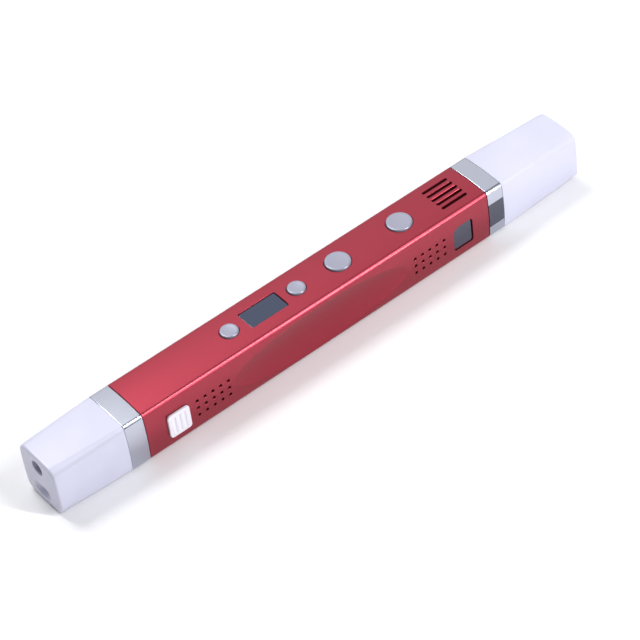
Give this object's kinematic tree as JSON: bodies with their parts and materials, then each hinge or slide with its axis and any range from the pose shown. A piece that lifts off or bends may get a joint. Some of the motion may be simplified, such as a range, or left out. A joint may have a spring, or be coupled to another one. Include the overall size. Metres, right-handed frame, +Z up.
{
  "type": "3d printing pen",
  "caption": "Slim square 3D printing pen: red aluminium tube, bright rings, white end caps, display, push buttons and a side slider.",
  "frame": {"origin": "middle of the pen's underside, at the lowest line of its crowned bottom face", "axes": "+X along the pen towards the nozzle and its cap, +Z up out of the face with the buttons, -Y out of the face with the slider"},
  "size_m": [0.175, 0.017, 0.0175],
  "materials": {
    "anodised_red": "fine bead-blasted red anodising",
    "bright_ring": "bright plated band",
    "black_inlay": "glossy black",
    "white_cap": "smooth satin white",
    "display_lens": "polished dark lens",
    "button_silver": "satin silver",
    "slider_white": "satin white, ribbed",
    "latch_black": "glossy dark",
    "spring_steel": "drawn wire",
    "board_green": "solder mask",
    "chip_black": "moulded epoxy",
    "switch_black": "moulded plastic",
    "display_glass": "display glass",
    "foam_grey": "soft foam",
    "flex_amber": "polyimide film",
    "socket_black": "moulded plastic",
    "plated_contact": "plated",
    "frame_grey": "moulded plastic",
    "guide_tube_white": "translucent slippery tube",
    "motor_steel": "plated steel",
    "gear_brass": "machined",
    "block_grey": "cast, machined faces",
    "holder_black": "heat-resistant moulded plastic",
    "ceramic_white": "fired ceramic",
    "lead_insulation": "insulated wire"
  },
  "bodies": {
    "pen": {"body_shell": "anodised_red", "rear_ring": "bright_ring", "front_ring": "bright_ring", "front_ring_inlay": "black_inlay", "rear_cap": "white_cap", "display_window": "display_lens", "speed_switch": "switch_black", "latch_spring": "spring_steel", "main_board": "board_green", "tactile_switches": "switch_black", "control_chips": "chip_black", "display_module": "display_glass", "display_cushion": "foam_grey", "display_flex": "flex_amber", "power_socket": "socket_black", "power_socket_pin": "plated_contact", "inner_frame": "frame_grey", "frame_screws": "spring_steel", "rear_guide_tube": "guide_tube_white", "front_guide_tube": "guide_tube_white", "motor": "motor_steel", "gearbox": "motor_steel", "feed_block": "block_grey", "arm_pivot_pin": "motor_steel", "pressure_spring": "spring_steel", "nozzle_holder": "holder_black", "heater_tube": "motor_steel", "heater_sleeve": "ceramic_white", "heat_shield": "motor_steel", "ceramic_nozzle": "ceramic_white", "temperature_sensor": "ceramic_white", "motor_leads": "lead_insulation", "heater_leads": "lead_insulation"},
    "front_cap_body": {"front_cap": "white_cap"},
    "temperature_down": {"temperature_down_button": "button_silver"},
    "temperature_up": {"temperature_up_button": "button_silver"},
    "retract": {"retract_button": "button_silver"},
    "feed": {"feed_button": "button_silver"},
    "slider": {"speed_slider": "slider_white"},
    "latch": {"nozzle_release_latch": "latch_black"},
    "drive": {"drive_shaft": "motor_steel", "worm": "gear_brass"},
    "feed_train": {"worm_wheel": "gear_brass", "feed_axle": "motor_steel", "feed_wheel": "motor_steel"},
    "idler": {"idler_arm": "block_grey", "idler_pin": "motor_steel"},
    "idler_roller": {"idler_bearing": "motor_steel"}
  },
  "joints": [
    {"name": "front_cap_pull", "type": "slide", "parent": "pen", "child": "front_cap_body", "axis": [1, 0, 0], "range_m": [0, 0.03]},
    {"name": "temperature_down_press", "type": "slide", "parent": "pen", "child": "temperature_down", "axis": [0, 0, -1], "range_m": [0, 0.00035], "stiffness_N_per_m": 3000, "springref_m": -0.00015},
    {"name": "temperature_up_press", "type": "slide", "parent": "pen", "child": "temperature_up", "axis": [0, 0, -1], "range_m": [0, 0.00035], "stiffness_N_per_m": 3000, "springref_m": -0.00015},
    {"name": "retract_press", "type": "slide", "parent": "pen", "child": "retract", "axis": [0, 0, -1], "range_m": [0, 0.00035], "stiffness_N_per_m": 3000, "springref_m": -0.00015},
    {"name": "feed_press", "type": "slide", "parent": "pen", "child": "feed", "axis": [0, 0, -1], "range_m": [0, 0.00035], "stiffness_N_per_m": 3000, "springref_m": -0.00015},
    {"name": "speed_slide", "type": "slide", "parent": "pen", "child": "slider", "axis": [1, 0, 0], "range_m": [-0.0012, 0.0012]},
    {"name": "latch_press", "type": "slide", "parent": "pen", "child": "latch", "axis": [0, 1, 0], "range_m": [0, 0.0008], "stiffness_N_per_m": 1500, "springref_m": -0.0003, "deforming": ["latch_spring"]},
    {"name": "worm_spin", "type": "hinge", "parent": "pen", "child": "drive", "pos_m": [0.0335, -0.0027, 0.009], "axis": [1, 0, 0], "continuous": true},
    {"name": "feed_spin", "type": "hinge", "parent": "pen", "child": "feed_train", "pos_m": [0.0335, 0.0027, 0.0053], "axis": [0, 0, 1], "continuous": true},
    {"name": "idler_swing", "type": "hinge", "parent": "pen", "child": "idler", "pos_m": [0.0383, -0.0044, 0.0038], "axis": [0, 0, 1], "range_deg": [0, 4], "stiffness_Nm_per_rad": 0.2, "springref_deg": -1.72, "deforming": ["pressure_spring"]},
    {"name": "idler_spin", "type": "hinge", "parent": "idler", "child": "idler_roller", "pos_m": [0.0335, -0.00263, 0.0053], "axis": [0, 0, 1], "continuous": true}
  ],
  "couplings": [
    {"joint": "feed_spin", "follows": "worm_spin", "ratio": -0.071429}
  ]
}
